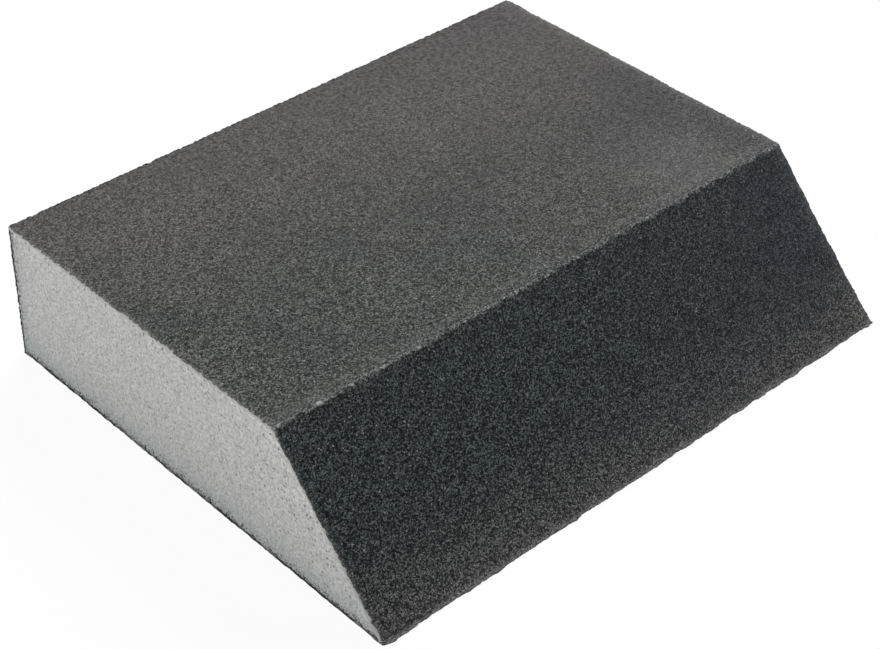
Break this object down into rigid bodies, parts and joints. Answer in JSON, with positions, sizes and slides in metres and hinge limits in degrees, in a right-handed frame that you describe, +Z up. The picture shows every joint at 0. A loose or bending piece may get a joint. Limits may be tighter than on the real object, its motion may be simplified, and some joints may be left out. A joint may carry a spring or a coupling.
{
  "type": "angled sanding block",
  "caption": "Foam hand-sanding block with one long side cut at a slant, grit-coated on its top, base, slanted side and back, with bare foam ends.",
  "frame": {"origin": "middle of the base, on the surface the block lies on", "axes": "+X along the block, +Y towards the square back, away from the slanted side, +Z up"},
  "size_m": [0.11, 0.089, 0.0254],
  "materials": {
    "foam": "matte",
    "flat_grit": "matte",
    "side_grit": "matte"
  },
  "bodies": {
    "root": {"foam_core": "foam", "top_coat": "flat_grit", "bottom_coat": "flat_grit", "bevel_coat": "side_grit", "back_coat": "side_grit"}
  },
  "joints": []
}
